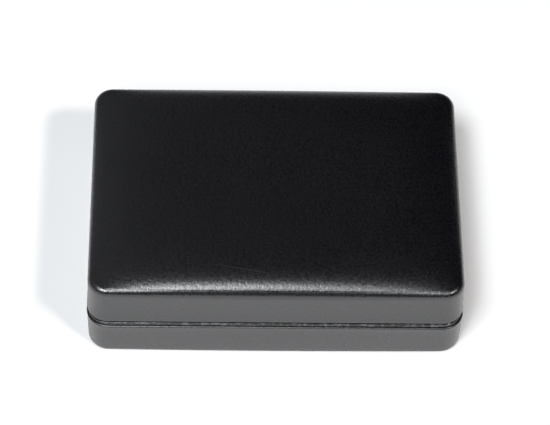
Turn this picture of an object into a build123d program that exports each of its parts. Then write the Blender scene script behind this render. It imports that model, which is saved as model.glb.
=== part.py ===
from build123d import *
from math import asin, degrees, sqrt, tan, radians
import os

# A hinged presentation case for a carded bullion bar: two covered trays, a riveted hinge with a
# snap spring, a velvet insert with a well for the bar and a satin lining in the lid.
# Lengths are millimetres and angles degrees. X runs along the hinge, -Y is the front and Z is up.
# The origin is under the middle of the closed case, on the surface that it stands on.

# Outside of the closed case
width = 115.0
depth = 80.0
corner_radius = 6.5
base_rim_z = 14.1
parting_gap = 2.1
lid_wall_height = 14.7
lid_crown_ends = 0.75
lid_crown_sides = 1.05
lid_draft = 2.9
base_draft = 0.4
lid_edge_radius = 2.2
base_edge_radius = 1.4
rim_edge_radius = 0.5

# Coverings, shells and padding
cover_thickness = 0.7
shell_wall = 1.3
shell_floor = 1.5
padding_thickness = 1.2
hem_height = 4.0
under_margin = 8.0
panel_thickness = 0.5
panel_inset = 4.0
glue_gap = 0.05
fine_radius = 0.2

# Rim frames
bead_inset = 0.35
bead_width = 0.9
bead_height = 1.25
bead_edge_radius = 0.35
flange_thickness = 0.6
frame_leg_inset = 3.0
frame_leg_thickness = 0.5
frame_leg_height = 5.0
lid_flange_inset = 1.3
lid_flange_thickness = 0.45
lid_flange_lift = 0.05

# Hinge
hinge_length = 72.0
knuckle_count = 5
barrel_radius = 1.25
pin_radius = 0.75
pin_clearance = 0.05
leaf_thickness = 0.45
leaf_height = 7.5
knuckle_gap = 0.3
barrel_setback = 0.05
relief_angle = 52.0
barrel_clearance = 0.3
end_clearance = 0.6

# Rivets
leaf_rivet_places = [-30.0, -18.0, 18.0, 30.0]
leaf_rivet_drop = 5.2
spring_rivet_places = [-6.0, 6.0]
spring_rivet_drop = 5.2
rivet_radius = 0.7
rivet_head_radius = 1.3
rivet_head_height = 0.45
rivet_head_edge = 0.3
rivet_tail_radius = 1.1
rivet_tail_depth = 0.4
rivet_setback = 0.3
rivet_clearance = 0.05

# Snap spring
spring_width = 22.0
spring_thickness = 0.35
spring_bulge = 3.2
spring_bend_half = 1.5
spring_shoulder = 3.3
spring_foot_end = 7.2
spring_bend_radius = 0.9

# Insert and bar well
insert_inset = 3.7
insert_below_rim = 0.7
velvet_thickness = 0.5
velvet_skirt = 5.0
insert_edge_radius = 0.8
well_length = 87.0
well_width = 55.0
well_depth = 7.0
well_corner_radius = 1.2
well_lip_radius = 0.4
well_offset = -1.5
well_pad_thickness = 1.9
notch_clearance = 0.6

# Lift ribbon
ribbon_width = 12.0
ribbon_thickness = 0.25
ribbon_under_bar = 26.0
ribbon_tab = 5.5

# Lid lining
lining_inset = 4.4
lining_edge_lift = 2.4
lining_crown = 0.8
satin_thickness = 0.4
satin_turn_over = 6.0
wadding_thickness = 3.0
board_thickness = 1.4
lining_edge_radius = 1.0
spacer_inset = 7.0
spacer_wall = 4.0

# Places that follow from the sizes. Cutting shapes run past what they cut by the overshoot.
overshoot = corner_radius
lid_rim_z = base_rim_z + parting_gap
lid_top_z = lid_rim_z + lid_wall_height + lid_crown_ends + lid_crown_sides
axis_y = depth / 2 - barrel_radius - barrel_setback
axis_z = base_rim_z + parting_gap / 2
shell_inset = cover_thickness + glue_gap
shell_inner_inset = shell_inset + shell_wall
hem_outer_inset = shell_inner_inset
hem_inner_inset = shell_inner_inset + cover_thickness
padding_edge_radius = min(lid_edge_radius - cover_thickness, padding_thickness - glue_gap)
shell_top_drop = shell_inset + padding_thickness + glue_gap
cover_floor_z = panel_thickness + cover_thickness
shell_floor_z = cover_floor_z + glue_gap
inner_floor_z = shell_floor_z + shell_floor
base_shell_rim_z = base_rim_z - cover_thickness - glue_gap
lid_shell_rim_z = lid_rim_z + cover_thickness + glue_gap
leaf_face_y = axis_y - barrel_radius
hinge_window_half = hinge_length / 2 + barrel_clearance
frame_rear_y = leaf_face_y - barrel_clearance
knuckle_length = hinge_length / knuckle_count
knuckle_places = [(i - (knuckle_count - 1) / 2) * knuckle_length for i in range(knuckle_count)]
base_knuckles = knuckle_places[0::2]
lid_knuckles = knuckle_places[1::2]
above_lid_z = lid_top_z + overshoot


def rounded_plan(inset):
    """The case's outline drawn in by inset, on the sketch in hand."""
    plan_radius = max(corner_radius - inset, fine_radius)
    RectangleRounded(width - 2 * inset, depth - 2 * inset, plan_radius)


def base_block(inset, low_z, high_z=base_rim_z, edge_radius=0.0):
    """The base's drafted body drawn in by inset, between two heights."""
    with BuildPart() as block:
        with BuildSketch(Plane(origin=(0, 0, base_rim_z), x_dir=(1, 0, 0), z_dir=(0, 0, -1))):
            rounded_plan(inset)
        extrude(amount=base_rim_z - low_z, taper=base_draft)
        if edge_radius > 0:
            fillet(block.faces().sort_by(Axis.Z)[0].edges(), edge_radius)
        if high_z < base_rim_z:
            split(bisect_by=Plane.XY.offset(high_z), keep=Keep.BOTTOM)
    return block.part


def crowned_slab(apex_z, crown_ends, crown_sides, facing=1):
    """A thick plate with a doubly curved face, which faces up for 1 and down for -1."""
    reach_x = width / 2 + overshoot
    reach_y = depth / 2 + overshoot
    slab_depth = lid_top_z + overshoot
    radius_x = ((width / 2) ** 2 + crown_ends**2) / (2 * crown_ends)
    radius_y = ((depth / 2) ** 2 + crown_sides**2) / (2 * crown_sides)
    end_height = radius_y - radius_x + sqrt(radius_x**2 - reach_x**2)
    half_turn = asin(reach_y / (radius_y - slab_depth))
    start = Plane.XZ.rotated((-degrees(half_turn), 0, 0))
    with BuildPart() as slab:
        with BuildSketch(start):
            with BuildLine():
                ThreePointArc((-reach_x, end_height), (0, radius_y), (reach_x, end_height))
                Polyline(
                    (reach_x, end_height),
                    (reach_x, radius_y - slab_depth),
                    (-reach_x, radius_y - slab_depth),
                    (-reach_x, end_height),
                )
            make_face()
        revolve(axis=Axis((0, 0, 0), (1, 0, 0)), revolution_arc=2 * degrees(half_turn))
    turned = Location((0, 0, 0), (0 if facing > 0 else 180, 0, 0))
    return Location((0, 0, apex_z)) * turned * Location((0, 0, -radius_y)) * slab.part


def lid_block(inset, low_z=lid_rim_z, high_z=above_lid_z):
    """The lid's drafted body drawn in by inset, between two heights, with no top of its own."""
    with BuildPart() as block:
        with BuildSketch(Plane.XY.offset(lid_rim_z)):
            rounded_plan(inset)
        extrude(amount=above_lid_z - lid_rim_z, taper=lid_draft)
        if low_z > lid_rim_z:
            split(bisect_by=Plane.XY.offset(low_z), keep=Keep.TOP)
        if high_z < above_lid_z:
            split(bisect_by=Plane.XY.offset(high_z), keep=Keep.BOTTOM)
    return block.part


def lid_body(inset, top_drop, low_z=lid_rim_z, edge_radius=0.0):
    """The lid's body under its crowned top, drawn in by inset and lowered by top_drop."""
    with BuildPart() as body:
        add(lid_block(inset, low_z))
        add(
            crowned_slab(lid_top_z - top_drop, lid_crown_ends, lid_crown_sides),
            mode=Mode.INTERSECT,
        )
        if edge_radius > 0:
            fillet(body.faces().sort_by(Axis.Z)[-1].edges(), edge_radius)
    return body.part


def rear_relief(facing):
    """What is cut away behind the hinge axis so that one half clears the other: 1 lid, -1 base."""
    reach = corner_radius
    rise = facing * reach * tan(radians(relief_angle))
    with BuildPart() as relief:
        with BuildSketch(Plane.YZ):
            with BuildLine():
                Polyline(
                    (axis_y, axis_z),
                    (axis_y + reach, axis_z + rise),
                    (axis_y + reach, axis_z - facing * reach),
                    (axis_y, axis_z - facing * reach),
                    close=True,
                )
            make_face()
            with Locations((axis_y, axis_z)):
                Circle(end_clearance)
        extrude(amount=width / 2, both=True)
        with BuildSketch(Plane.YZ):
            with Locations((axis_y, axis_z)):
                Circle(barrel_radius + barrel_clearance)
        extrude(amount=hinge_window_half, both=True)
    return relief.part


def hinge_window(low_z, top_z, front_y, back_y):
    """The space that a hinge leaf takes out of what it passes."""
    with BuildPart() as window:
        with Locations((0, (front_y + back_y) / 2, (low_z + top_z) / 2)):
            Box(2 * hinge_window_half, back_y - front_y, top_z - low_z)
    return window.part


def frame_rear_cut(rim_z):
    """What a rim frame leaves open at the back: all behind the hinge plates, and the hinge itself."""
    cut_height = 2 * (frame_leg_height + bead_height + overshoot)
    with BuildPart() as rear_cut:
        with Locations((0, frame_rear_y + depth / 2, rim_z)):
            Box(width, depth, cut_height)
        with Locations((0, depth / 2, rim_z)):
            Box(2 * hinge_window_half, 2 * corner_radius, cut_height)
    return rear_cut.part


def rivet_set(places, z, seat_y, tail_y, grow=0.0):
    """Rivets along Y, their heads inside at seat_y and their flared tails outside at tail_y."""
    points = [(x, z) for x in places]
    with BuildPart() as rivets:
        with BuildSketch(Plane.XZ.offset(-seat_y)):
            with Locations(*points):
                Circle(rivet_radius + grow)
        extrude(amount=-(tail_y - seat_y))
        with BuildSketch(Plane.XZ.offset(-tail_y)):
            with Locations(*points):
                Circle(rivet_tail_radius + grow)
        extrude(amount=rivet_tail_depth, taper=45)
        with BuildSketch(Plane.XZ.offset(-seat_y)):
            with Locations(*points):
                Circle(rivet_head_radius)
        extrude(amount=rivet_head_height)
        if grow == 0.0:
            fillet(rivets.faces().group_by(Axis.Y)[0].edges(), rivet_head_edge)
    return rivets.part


def hinge_leaf(facing, open_places):
    """A rolled hinge leaf whose plate runs up into the lid (1) or down into the base (-1).

    Its barrel is left open at the other leaf's knuckles.
    """
    plate_y = leaf_face_y + leaf_thickness / 2
    with BuildPart() as leaf:
        with BuildSketch(Plane.YZ):
            with Locations((axis_y, axis_z)):
                Circle(barrel_radius)
            with Locations((plate_y, axis_z + facing * leaf_height / 2)):
                Rectangle(leaf_thickness, leaf_height)
            with Locations((axis_y, axis_z)):
                Circle(pin_radius + pin_clearance, mode=Mode.SUBTRACT)
        extrude(amount=hinge_length / 2, both=True)
        gap_size = 2 * (barrel_radius + barrel_clearance)
        with Locations(*[(x, axis_y, axis_z) for x in open_places]):
            Box(knuckle_length + knuckle_gap, gap_size, gap_size, mode=Mode.SUBTRACT)
    return leaf.part


# Rivet seats, shared by the rivets and by the holes that they fill
leaf_seat_y = leaf_face_y
spring_seat_y = leaf_face_y - glue_gap - spring_thickness
base_tail_y = depth / 2 - shell_inset - rivet_setback
lid_tail_y = base_tail_y - leaf_rivet_drop * tan(radians(lid_draft))
base_rivet_z = axis_z - leaf_rivet_drop
lid_rivet_z = axis_z + leaf_rivet_drop
base_spring_rivet_z = axis_z - spring_rivet_drop
lid_spring_rivet_z = axis_z + spring_rivet_drop


def rivet_holes(leaf_z, spring_z, tail_y):
    """Clearance holes for one half's leaf rivets and spring rivets."""
    with BuildPart() as holes:
        add(rivet_set(leaf_rivet_places, leaf_z, leaf_seat_y, tail_y, rivet_clearance))
        add(rivet_set(spring_rivet_places, spring_z, spring_seat_y, tail_y, rivet_clearance))
    return holes.part


base_holes = rivet_holes(base_rivet_z, base_spring_rivet_z, base_tail_y)
lid_holes = rivet_holes(lid_rivet_z, lid_spring_rivet_z, lid_tail_y)

# Base shell, a moulded tray
leaf_seat_low_z = axis_z - leaf_height - barrel_clearance
with BuildPart() as base_shell:
    add(base_block(shell_inset, shell_floor_z, base_shell_rim_z, base_edge_radius - cover_thickness))
    add(
        base_block(shell_inner_inset, inner_floor_z, edge_radius=insert_edge_radius),
        mode=Mode.SUBTRACT,
    )
    add(
        hinge_window(
            leaf_seat_low_z,
            axis_z,
            leaf_face_y,
            leaf_face_y + leaf_thickness + glue_gap,
        ),
        mode=Mode.SUBTRACT,
    )
    add(base_holes, mode=Mode.SUBTRACT)
base_shell.part.label = "base_shell"

# Base cover, leatherette drawn over the shell, turned in at the rim and turned under the floor
with BuildPart() as base_cover:
    add(base_block(0, panel_thickness, edge_radius=base_edge_radius))
    add(
        base_block(
            cover_thickness,
            cover_floor_z,
            base_rim_z - cover_thickness,
            base_edge_radius - cover_thickness,
        ),
        mode=Mode.SUBTRACT,
    )
    add(base_block(hem_inner_inset, inner_floor_z), mode=Mode.SUBTRACT)
    with BuildSketch(Plane.XY):
        rounded_plan(under_margin)
    extrude(amount=cover_floor_z + glue_gap, mode=Mode.SUBTRACT)
    fillet(base_cover.faces().sort_by(Axis.Z)[-1].outer_wire().edges(), rim_edge_radius)
    add(base_block(hem_outer_inset, base_rim_z - hem_height, base_rim_z - cover_thickness / 2))
    add(base_block(hem_inner_inset, inner_floor_z), mode=Mode.SUBTRACT)
    add(rear_relief(-1), mode=Mode.SUBTRACT)
    add(
        hinge_window(
            leaf_seat_low_z - hem_height,
            axis_z,
            leaf_face_y - cover_thickness,
            leaf_face_y + leaf_thickness + barrel_clearance,
        ),
        mode=Mode.SUBTRACT,
    )
base_cover.part.label = "base_cover"

# Filler card between the turned-under margins, and the panel that the case stands on
with BuildPart() as base_card:
    with BuildSketch(Plane.XY.offset(panel_thickness)):
        rounded_plan(under_margin + fine_radius)
    extrude(amount=cover_thickness)
base_card.part.label = "base_card"

with BuildPart() as bottom_panel:
    with BuildSketch(Plane.XY):
        rounded_plan(panel_inset)
    extrude(amount=panel_thickness)
    fillet(bottom_panel.faces().sort_by(Axis.Z)[0].edges(), fine_radius)
bottom_panel.part.label = "bottom_panel"

# Base rim frame: a leg inside the rim, a flange over it and the bead that shows in the parting
flange_low_z = base_rim_z + glue_gap
frame_inner_inset = frame_leg_inset + frame_leg_thickness
with BuildPart() as base_rim_frame:
    with BuildSketch(Plane.XY.offset(flange_low_z)):
        rounded_plan(bead_inset)
    extrude(amount=bead_height)
    fillet(base_rim_frame.faces().sort_by(Axis.Z)[-1].edges(), bead_edge_radius)
    fillet(base_rim_frame.faces().sort_by(Axis.Z)[0].edges(), bead_edge_radius)
    with BuildSketch(Plane.XY.offset(flange_low_z + flange_thickness)):
        rounded_plan(bead_inset + bead_width)
    extrude(amount=bead_height, mode=Mode.SUBTRACT)
    with BuildSketch(Plane.XY.offset(base_rim_z - frame_leg_height)):
        rounded_plan(frame_leg_inset)
    extrude(amount=frame_leg_height + flange_thickness)
    with BuildSketch(Plane.XY.offset(base_rim_z - frame_leg_height)):
        rounded_plan(frame_inner_inset)
    extrude(amount=frame_leg_height + bead_height + overshoot, mode=Mode.SUBTRACT)
    add(frame_rear_cut(base_rim_z), mode=Mode.SUBTRACT)
base_rim_frame.part.label = "base_rim_frame"

# Hinge: base leaf, pin and base rivets
with BuildPart() as base_hinge_leaf:
    add(hinge_leaf(-1, lid_knuckles))
    add(base_holes, mode=Mode.SUBTRACT)
base_hinge_leaf.part.label = "base_hinge_leaf"

with BuildPart() as hinge_pin:
    with BuildSketch(Plane.YZ):
        with Locations((axis_y, axis_z)):
            Circle(pin_radius)
    extrude(amount=hinge_length / 2 + barrel_clearance / 2, both=True)
    chamfer(hinge_pin.edges(), fine_radius)
hinge_pin.part.label = "hinge_pin"

with BuildPart() as base_hinge_rivets:
    add(rivet_set(leaf_rivet_places, base_rivet_z, leaf_seat_y, base_tail_y))
base_hinge_rivets.part.label = "base_hinge_rivets"

with BuildPart() as base_spring_rivets:
    add(rivet_set(spring_rivet_places, base_spring_rivet_z, spring_seat_y, base_tail_y))
base_spring_rivets.part.label = "base_spring_rivets"

# Snap spring, a bent strip with a foot on each hinge leaf
spring_y = spring_seat_y + spring_thickness / 2
with BuildPart() as snap_spring:
    with BuildSketch(Plane.YZ):
        with BuildLine():
            FilletPolyline(
                (spring_y, axis_z - spring_foot_end),
                (spring_y, axis_z - spring_shoulder),
                (spring_y - spring_bulge, axis_z - spring_bend_half),
                (spring_y - spring_bulge, axis_z + spring_bend_half),
                (spring_y, axis_z + spring_shoulder),
                (spring_y, axis_z + spring_foot_end),
                radius=spring_bend_radius,
            )
        trace(line_width=spring_thickness)
    extrude(amount=spring_width / 2, both=True)
    add(base_holes, mode=Mode.SUBTRACT)
    add(lid_holes, mode=Mode.SUBTRACT)
snap_spring.part.label = "snap_spring"

# Insert: a board core with a well, a pad under the bar, and the velvet over both
insert_top_z = base_rim_z - insert_below_rim
core_inset = insert_inset + velvet_thickness + glue_gap
core_low_z = inner_floor_z + glue_gap
well_floor_z = insert_top_z - well_depth
pad_top_z = well_floor_z - velvet_thickness - glue_gap
well_skin = velvet_thickness + glue_gap
notch_front_y = spring_y - spring_bulge - spring_thickness / 2 - notch_clearance
notch_low_z = axis_z - spring_shoulder - spring_bend_radius - notch_clearance
with BuildPart() as spring_notch:
    with Locations((0, notch_front_y + depth / 4, notch_low_z + depth / 4)):
        Box(spring_width + 2 * notch_clearance, depth / 2, depth / 2)

with BuildPart() as insert_core:
    with BuildSketch(Plane.XY.offset(core_low_z)):
        rounded_plan(core_inset)
    extrude(amount=insert_top_z - velvet_thickness - glue_gap - core_low_z)
    with BuildSketch(Plane.XY.offset(pad_top_z - well_pad_thickness - glue_gap)):
        with Locations((0, well_offset)):
            RectangleRounded(
                well_length + 2 * well_skin,
                well_width + 2 * well_skin,
                well_corner_radius + well_skin,
            )
    extrude(amount=well_depth + overshoot, mode=Mode.SUBTRACT)
    add(spring_notch.part, mode=Mode.SUBTRACT)
insert_core.part.label = "insert_core"

with BuildPart() as well_pad:
    with BuildSketch(Plane.XY.offset(pad_top_z - well_pad_thickness)):
        with Locations((0, well_offset)):
            RectangleRounded(well_length, well_width, well_corner_radius)
    extrude(amount=well_pad_thickness)
well_pad.part.label = "well_pad"

with BuildPart() as insert_velvet:
    with BuildSketch(Plane.XY.offset(insert_top_z - velvet_skirt)):
        rounded_plan(insert_inset)
    extrude(amount=velvet_skirt)
    fillet(insert_velvet.faces().sort_by(Axis.Z)[-1].edges(), velvet_thickness)
    with BuildSketch(Plane.XY.offset(insert_top_z - velvet_skirt)):
        rounded_plan(insert_inset + velvet_thickness)
    extrude(amount=velvet_skirt - velvet_thickness, mode=Mode.SUBTRACT)
    with BuildSketch(Plane.XY.offset(well_floor_z - velvet_thickness)):
        with Locations((0, well_offset)):
            RectangleRounded(
                well_length + 2 * velvet_thickness,
                well_width + 2 * velvet_thickness,
                well_corner_radius + velvet_thickness,
            )
    extrude(amount=well_depth)
    with BuildSketch(Plane.XY.offset(well_floor_z)):
        with Locations((0, well_offset)):
            RectangleRounded(well_length, well_width, well_corner_radius)
    extrude(amount=well_depth, mode=Mode.SUBTRACT)
    fillet(
        insert_velvet.faces().sort_by(Axis.Z)[-1].inner_wires()[0].edges(),
        well_lip_radius,
    )
    add(spring_notch.part, mode=Mode.SUBTRACT)
insert_velvet.part.label = "insert_velvet"

# Lift ribbon, glued under the bar's place and led up the well's front wall to a finger tab
ribbon_half = ribbon_thickness / 2
ribbon_floor_z = well_floor_z + glue_gap + ribbon_half
ribbon_wall_y = well_offset - well_width / 2 + glue_gap + ribbon_half
ribbon_top_z = insert_top_z + glue_gap + ribbon_half
with BuildPart() as lift_ribbon:
    with BuildSketch(Plane.YZ):
        with BuildLine():
            FilletPolyline(
                (ribbon_wall_y + ribbon_under_bar, ribbon_floor_z),
                (ribbon_wall_y, ribbon_floor_z),
                (ribbon_wall_y, ribbon_top_z),
                (ribbon_wall_y - ribbon_tab, ribbon_top_z),
                radius=ribbon_half + fine_radius,
            )
        trace(line_width=ribbon_thickness)
    extrude(amount=ribbon_width / 2, both=True)
lift_ribbon.part.label = "lift_ribbon"

# Lid shell, the padding on its crown, and the leatherette cover
with BuildPart() as lid_shell:
    add(lid_body(shell_inset, shell_top_drop, lid_shell_rim_z, padding_edge_radius / 2))
    add(
        lid_body(shell_inner_inset, shell_top_drop + shell_wall, edge_radius=insert_edge_radius),
        mode=Mode.SUBTRACT,
    )
    add(
        hinge_window(
            axis_z,
            axis_z + leaf_height + barrel_clearance,
            leaf_face_y - leaf_thickness,
            leaf_face_y + leaf_thickness + glue_gap,
        ),
        mode=Mode.SUBTRACT,
    )
    add(lid_holes, mode=Mode.SUBTRACT)
lid_shell.part.label = "lid_shell"

with BuildPart() as lid_padding:
    add(lid_body(shell_inset, shell_inset, edge_radius=padding_edge_radius))
    add(
        crowned_slab(
            lid_top_z - shell_inset - padding_thickness,
            lid_crown_ends,
            lid_crown_sides,
        ),
        mode=Mode.SUBTRACT,
    )
lid_padding.part.label = "lid_padding"

with BuildPart() as lid_cover:
    add(lid_body(0, 0, edge_radius=lid_edge_radius))
    add(
        lid_body(
            cover_thickness,
            cover_thickness,
            lid_rim_z + cover_thickness,
            padding_edge_radius,
        ),
        mode=Mode.SUBTRACT,
    )
    add(lid_block(hem_inner_inset, high_z=lid_rim_z + hem_height), mode=Mode.SUBTRACT)
    fillet(lid_cover.faces().sort_by(Axis.Z)[0].outer_wire().edges(), rim_edge_radius)
    add(lid_block(hem_outer_inset, lid_rim_z + cover_thickness / 2, lid_rim_z + hem_height))
    add(lid_block(hem_inner_inset, high_z=lid_rim_z + hem_height), mode=Mode.SUBTRACT)
    add(rear_relief(1), mode=Mode.SUBTRACT)
    add(
        hinge_window(
            axis_z,
            axis_z + leaf_height + barrel_clearance,
            leaf_face_y - hem_height,
            leaf_face_y + leaf_thickness + barrel_clearance,
        ),
        mode=Mode.SUBTRACT,
    )
lid_cover.part.label = "lid_cover"

# Lid rim frame, set back behind the cover's edge
lid_flange_z = lid_rim_z - lid_flange_lift - lid_flange_thickness
with BuildPart() as lid_rim_frame:
    with BuildSketch(Plane.XY.offset(lid_flange_z)):
        rounded_plan(lid_flange_inset)
    extrude(amount=lid_flange_thickness)
    with BuildSketch(Plane.XY.offset(lid_flange_z)):
        rounded_plan(frame_leg_inset)
    extrude(amount=frame_leg_height)
    with BuildSketch(Plane.XY.offset(lid_flange_z)):
        rounded_plan(frame_inner_inset)
    extrude(amount=frame_leg_height, mode=Mode.SUBTRACT)
    add(frame_rear_cut(lid_rim_z), mode=Mode.SUBTRACT)
lid_rim_frame.part.label = "lid_rim_frame"

# Lid hinge leaf and its rivets
with BuildPart() as lid_hinge_leaf:
    add(hinge_leaf(1, base_knuckles))
    add(lid_holes, mode=Mode.SUBTRACT)
lid_hinge_leaf.part.label = "lid_hinge_leaf"

with BuildPart() as lid_hinge_rivets:
    add(rivet_set(leaf_rivet_places, lid_rivet_z, leaf_seat_y, lid_tail_y))
lid_hinge_rivets.part.label = "lid_hinge_rivets"

with BuildPart() as lid_spring_rivets:
    add(rivet_set(spring_rivet_places, lid_spring_rivet_z, spring_seat_y, lid_tail_y))
lid_spring_rivets.part.label = "lid_spring_rivets"

# Lid lining: satin over wadding and a board, held off the lid's ceiling by a card frame
lining_low_z = lid_rim_z + lining_edge_lift - lining_crown
wadding_top_z = lining_low_z + lining_crown + satin_thickness + wadding_thickness
board_low_z = wadding_top_z + glue_gap
board_top_z = board_low_z + board_thickness
satin_top_z = board_top_z + glue_gap + satin_thickness
pocket_inset = lining_inset + satin_thickness
stuffing_inset = pocket_inset + glue_gap


def lining_block(inset, rise, top_z, edge_radius):
    """The lining's body drawn in by inset, its crowned face bulging down and raised by rise."""
    with BuildPart() as block:
        with BuildSketch(Plane.XY.offset(lining_low_z - overshoot)):
            rounded_plan(inset)
        extrude(amount=top_z - lining_low_z + overshoot)
        add(
            crowned_slab(lining_low_z + rise, lining_crown / 2, lining_crown / 2, facing=-1),
            mode=Mode.INTERSECT,
        )
        fillet(block.faces().sort_by(Axis.Z)[0].edges(), edge_radius)
    return block.part


with BuildPart() as lining_satin:
    add(lining_block(lining_inset, 0, satin_top_z, lining_edge_radius))
    add(
        lining_block(
            pocket_inset,
            satin_thickness,
            satin_top_z - satin_thickness,
            lining_edge_radius - satin_thickness,
        ),
        mode=Mode.SUBTRACT,
    )
    with BuildSketch(Plane.XY.offset(board_top_z)):
        rounded_plan(lining_inset + satin_turn_over)
    extrude(amount=overshoot, mode=Mode.SUBTRACT)
lining_satin.part.label = "lining_satin"

with BuildPart() as lining_wadding:
    add(
        lining_block(
            stuffing_inset,
            satin_thickness + glue_gap,
            wadding_top_z,
            lining_edge_radius - satin_thickness,
        )
    )
lining_wadding.part.label = "lining_wadding"

with BuildPart() as lining_board:
    with BuildSketch(Plane.XY.offset(board_low_z)):
        rounded_plan(stuffing_inset)
    extrude(amount=board_thickness)
lining_board.part.label = "lining_board"

with BuildPart() as lid_spacer_frame:
    with BuildSketch(Plane.XY.offset(satin_top_z + glue_gap)):
        rounded_plan(spacer_inset)
        offset(amount=-spacer_wall, mode=Mode.SUBTRACT)
    extrude(amount=lid_wall_height)
    add(
        crowned_slab(
            lid_top_z - shell_top_drop - shell_wall - glue_gap,
            lid_crown_ends,
            lid_crown_sides,
        ),
        mode=Mode.INTERSECT,
    )
lid_spacer_frame.part.label = "lid_spacer_frame"

# One file for each piece, named after it
sub_parts = [
    base_shell,
    base_cover,
    base_card,
    bottom_panel,
    base_rim_frame,
    base_hinge_leaf,
    hinge_pin,
    base_hinge_rivets,
    base_spring_rivets,
    snap_spring,
    insert_core,
    well_pad,
    insert_velvet,
    lift_ribbon,
    lid_shell,
    lid_padding,
    lid_cover,
    lid_rim_frame,
    lid_hinge_leaf,
    lid_hinge_rivets,
    lid_spring_rivets,
    lining_satin,
    lining_wadding,
    lining_board,
    lid_spacer_frame,
]
os.makedirs("parts", exist_ok=True)
for sub_part in sub_parts:
    export_step(sub_part.part, f"parts/{sub_part.part.label}.step")
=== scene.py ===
import math

import bpy
import numpy as np
from mathutils import Matrix, Vector


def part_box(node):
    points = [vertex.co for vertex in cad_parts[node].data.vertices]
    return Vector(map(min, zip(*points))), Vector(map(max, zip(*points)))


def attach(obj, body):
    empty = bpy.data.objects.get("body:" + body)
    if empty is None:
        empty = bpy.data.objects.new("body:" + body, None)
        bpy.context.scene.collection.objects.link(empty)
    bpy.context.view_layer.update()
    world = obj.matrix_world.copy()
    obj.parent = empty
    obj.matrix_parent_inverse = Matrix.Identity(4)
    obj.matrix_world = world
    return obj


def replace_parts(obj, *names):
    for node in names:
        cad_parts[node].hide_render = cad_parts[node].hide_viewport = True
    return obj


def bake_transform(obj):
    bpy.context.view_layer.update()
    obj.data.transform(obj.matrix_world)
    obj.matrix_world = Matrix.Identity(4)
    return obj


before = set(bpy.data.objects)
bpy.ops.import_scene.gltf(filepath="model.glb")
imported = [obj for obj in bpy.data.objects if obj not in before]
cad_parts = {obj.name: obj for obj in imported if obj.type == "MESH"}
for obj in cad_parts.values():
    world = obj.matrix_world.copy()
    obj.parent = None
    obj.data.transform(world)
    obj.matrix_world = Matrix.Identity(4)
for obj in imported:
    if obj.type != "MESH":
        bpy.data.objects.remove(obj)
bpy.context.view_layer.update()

# A closed presentation case in black leatherette, on a white table under soft light.
# Points are worked out in millimetres and turned to metres as each mesh is made. X runs along the
# hinge, -Y is the front, Z is up, and the origin is under the middle of the case.
MM = 0.001

# Outside of the case
half_width = 57.5
half_depth = 40.0
corner_radius = 6.5
base_rim_z = 14.1
lid_rim_z = 16.2
cover_thickness = 0.7

# Padded top: level corners, sides that rise in the middle, foam that fills out behind the edge
top_corner_z = 31.0
side_rise = 0.5
front_rise = 0.46
left_rise = 0.05
pad_margin_corner = 2.7
pad_margin_front = 2.95
pad_margin_back = 2.33
pad_margin_ends = 2.2
pad_rise = 1.65
pad_reach = 6.2
pad_lip_rise = 0.7
pad_lip_reach = 2.0
edge_radius_corner = 2.15
edge_radius_front = 4.0
edge_radius_back = 2.2
edge_radius_ends = 2.2
base_edge_radius = 1.0
base_bow = 0.3
base_underside_z = 0.5
underside_margins = (3.0, 5.0, 8.0)
underside_least_corner = 0.4

# Rims: the leatherette is rolled over the edge and turned in, and cut back behind the hinge. A
# change or fade in two numbers runs between these distances in from the case's back
lid_roll = 1.0
base_roll_front = 0.45
base_roll_back = 1.0
base_roll_change = (12.0, 1.0)
lid_flare = 0.62
lid_flare_reach = 5.0
base_flare = 0.2
base_flare_reach = 1.8
base_flare_out = 0.2
base_flare_fade = (14.0, 4.0)
hem_inset = 2.72
hem_height = 4.0
hem_roll = 0.6
hem_bend = 0.8
hinge_half = 36.6
hinge_fade = 0.3
hinge_lift = 0.55
hinge_hem_inset = 1.75
hinge_hem_height = 0.9

# Foam on the moulded lid, and foam under the well's floor
shell_top_z = 30.82
shell_fall_ends = 0.75
shell_fall_sides = 1.05
foam_inset = 4.2
foam_corner = 3.0
foam_edge = 0.4
foam_gap = 0.06
well_pad_gap = 0.1
well_pad_corner = 1.0
well_pad_edge = 0.35
well_pad_sag = 0.12
well_pad_half_y = 28.0

# Insert, bar well, lift ribbon and lid lining
insert_half_x = 53.8
insert_half_y = 36.3
insert_corner = 2.8
insert_top_z = 13.4
insert_skirt_z = 8.4
well_half_x = 43.5
well_half_y = 27.5
well_centre_y = -1.5
well_corner = 1.2
well_floor_z = 6.4
notch_half = 11.6
notch_fade = 0.1
notch_y = 33.25
velvet_thickness = 0.45
velvet_edge = 0.9
velvet_lip = 0.8
velvet_foot = 0.5
velvet_swell = 0.22
velvet_floor_rise = 0.12
ribbon_half_width = 6.0
ribbon_thickness = 0.25
ribbon_gap = 0.16
ribbon_bend = 0.7
lining_half_x = 53.1
lining_half_y = 35.6
lining_corner = 2.1
lining_swell = 1.5
lining_gap = 0.4
wadding_inset = 1.6
wadding_corner = 1.6
wadding_edge = 0.7
board_gap = 0.02
satin_thickness = 0.35
satin_step = 0.9
satin_hem_z = 20.0
satin_depth = 2.4
satin_fullness = 3.0
satin_ease = 1.003
satin_ruffle = 1.1
satin_ruffle_reach = 6.0
satin_sewn_ruffle = 0.4
satin_gathers = ((5.8, 0.4, 0.5), (3.7, 1.7, 0.4), (8.3, 2.9, 0.45), (4.7, 0.9, 0.45))
satin_pressure = 3.0
satin_side = ((0.0, 21.2), (0.0, 22.6), (0.1, 23.6), (0.5, 23.9), (3.0, 23.9), (5.6, 23.9))
cloth_scale = 10

# Hinge line and snap spring
axis_z = 15.15
spring_half_width = 11.0
spring_thickness = 0.35
spring_foot_y = 37.225
spring_bulge_y = 34.025
spring_bend = 0.8

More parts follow.
